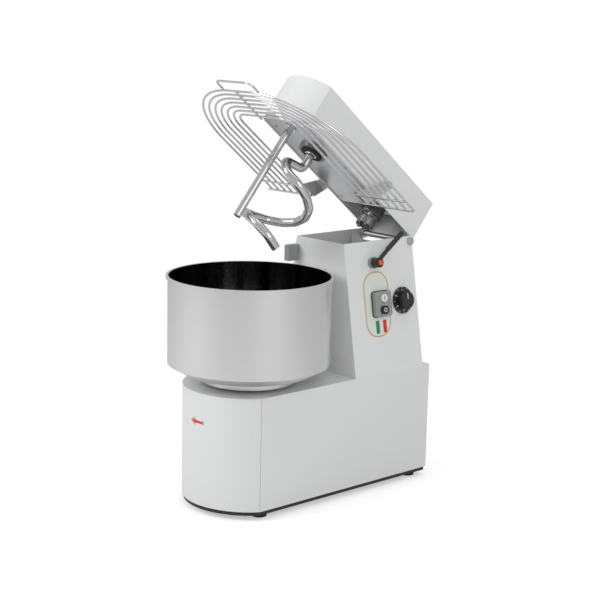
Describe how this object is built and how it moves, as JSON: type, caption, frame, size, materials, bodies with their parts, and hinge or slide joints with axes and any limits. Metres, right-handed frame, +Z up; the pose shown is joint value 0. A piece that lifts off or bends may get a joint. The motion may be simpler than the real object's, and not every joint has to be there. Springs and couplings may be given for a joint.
{
  "type": "commercial stand mixer",
  "caption": "Lifting-head spiral dough mixer with a lift-out bowl, wire guard, spiral hook, breaker rod, turntable drive and side controls; the head is stored raised.",
  "frame": {"origin": "on the ground, below the middle of the whole machine with its head raised", "axes": "+Z up, -Y to the front where the bowl is, +X to the side with the controls"},
  "size_m": [0.578, 0.8384, 1.154],
  "materials": {
    "white_paint": "white powder coat",
    "black_steel": "black paint",
    "rubber": "moulded",
    "zinc_steel": "zinc plated",
    "bearing_steel": "ground",
    "bowl_steel": "satin stainless",
    "wire_steel": "bright stainless",
    "hook_steel": "polished stainless",
    "motor_paint": "grey paint",
    "cast_housing": "machined casting",
    "chain_steel": "oiled",
    "label_film": "pale label",
    "grey_plastic": "moulded grey",
    "black_plastic": "moulded black",
    "white_plastic": "moulded white",
    "orange_plastic": "moulded orange"
  },
  "bodies": {
    "frame": {"base_shell": "white_paint", "front_cover": "white_paint", "base_rear_panel": "white_paint", "column_shell": "white_paint", "column_rear_panel": "white_paint", "base_plate": "black_steel", "rubber_feet": "rubber", "switch_gasket": "rubber", "motor_bracket": "zinc_steel", "rear_panel_screws": "zinc_steel", "pivot_pin": "zinc_steel", "latch_striker": "zinc_steel", "turntable_bearings": "bearing_steel", "motor": "motor_paint", "gearbox": "motor_paint", "turntable_housing": "cast_housing", "bowl_chain": "chain_steel", "control_label": "label_film", "switch_housing": "grey_plastic", "stop_box": "grey_plastic", "lever_boss": "grey_plastic", "timer_bezel": "black_plastic", "cable_gland": "black_plastic"},
    "turntable": {"turntable": "bowl_steel", "turntable_shaft": "bearing_steel", "bowl_sprocket": "cast_housing"},
    "drive": {"drive_shaft": "bearing_steel", "motor_sprocket": "cast_housing", "lower_jaw": "cast_housing"},
    "bowl": {"bowl": "bowl_steel"},
    "head": {"head_shell": "white_paint", "underplate": "zinc_steel", "spiral_housing": "cast_housing", "head_bearings": "bearing_steel", "seal_ring": "rubber", "breaker_rod": "hook_steel", "hinge_lugs": "zinc_steel", "input_bridge": "zinc_steel", "input_housing": "cast_housing", "head_chain": "chain_steel", "underplate_screws": "zinc_steel", "guard_pivots": "zinc_steel"},
    "spiral": {"spiral_hook": "hook_steel", "spiral_shaft": "bearing_steel", "spiral_sprocket": "cast_housing"},
    "head_input": {"input_shaft": "bearing_steel", "input_sprocket": "cast_housing", "upper_jaw": "cast_housing"},
    "guard": {"guard_outer_wires": "wire_steel", "guard_middle_wires": "wire_steel", "guard_inner_wires": "wire_steel", "guard_cross_bars": "wire_steel", "guard_arms": "wire_steel", "guard_handle": "wire_steel"},
    "start_button": {"start_button": "white_plastic"},
    "stop_button": {"stop_button": "black_plastic"},
    "timer_knob": {"timer_knob": "black_plastic"},
    "clamp_lever": {"clamp_lever": "black_plastic"},
    "lever_button": {"lever_push_button": "orange_plastic"}
  },
  "joints": [
    {"name": "head_tilt", "type": "hinge", "parent": "frame", "child": "head", "pos_m": [0, 0.31877, 0.686], "axis": [-1, 0, 0], "range_deg": [-39.4, 0]},
    {"name": "guard_tilt", "type": "hinge", "parent": "head", "child": "guard", "pos_m": [0, 0.21799, 0.85161], "axis": [-1, 0, 0], "range_deg": [0, 45]},
    {"name": "spiral_spin", "type": "hinge", "parent": "head", "child": "spiral", "pos_m": [0, 0.02397, 0.94627], "axis": [0, 0.6347, 0.7727], "continuous": true},
    {"name": "head_input_spin", "type": "hinge", "parent": "head", "child": "head_input", "pos_m": [0, 0.25579, 0.75585], "axis": [0, 0.6347, 0.7727], "continuous": true},
    {"name": "turntable_spin", "type": "hinge", "parent": "frame", "child": "turntable", "pos_m": [0, -0.19423, 0.3], "axis": [0, 0, 1], "continuous": true},
    {"name": "drive_spin", "type": "hinge", "parent": "frame", "child": "drive", "pos_m": [0, 0.22577, 0.3], "axis": [0, 0, 1], "continuous": true},
    {"name": "bowl_lift", "type": "slide", "parent": "turntable", "child": "bowl", "axis": [0, 0, 1], "range_m": [0, 0.15]},
    {"name": "start_press", "type": "slide", "parent": "frame", "child": "start_button", "axis": [-0.986, 0, -0.1666], "range_m": [0, 0.004], "stiffness_N_per_m": 400},
    {"name": "stop_press", "type": "slide", "parent": "frame", "child": "stop_button", "axis": [-0.986, 0, -0.1666], "range_m": [0, 0.004], "stiffness_N_per_m": 400},
    {"name": "timer_turn", "type": "hinge", "parent": "frame", "child": "timer_knob", "pos_m": [0.13442, 0.26677, 0.52667], "axis": [-0.986, 0, -0.1666], "range_deg": [0, 300]},
    {"name": "lever_turn", "type": "hinge", "parent": "frame", "child": "clamp_lever", "pos_m": [0.12486, 0.16077, 0.64333], "axis": [0.986, 0, 0.1666], "range_deg": [-60, 30]},
    {"name": "lever_button_press", "type": "slide", "parent": "clamp_lever", "child": "lever_button", "axis": [-0.986, 0, -0.1666], "range_m": [0, 0.0025], "stiffness_N_per_m": 400}
  ],
  "couplings": [
    {"joint": "head_input_spin", "follows": "spiral_spin", "ratio": 2.1429},
    {"joint": "drive_spin", "follows": "turntable_spin", "ratio": 3.6}
  ]
}
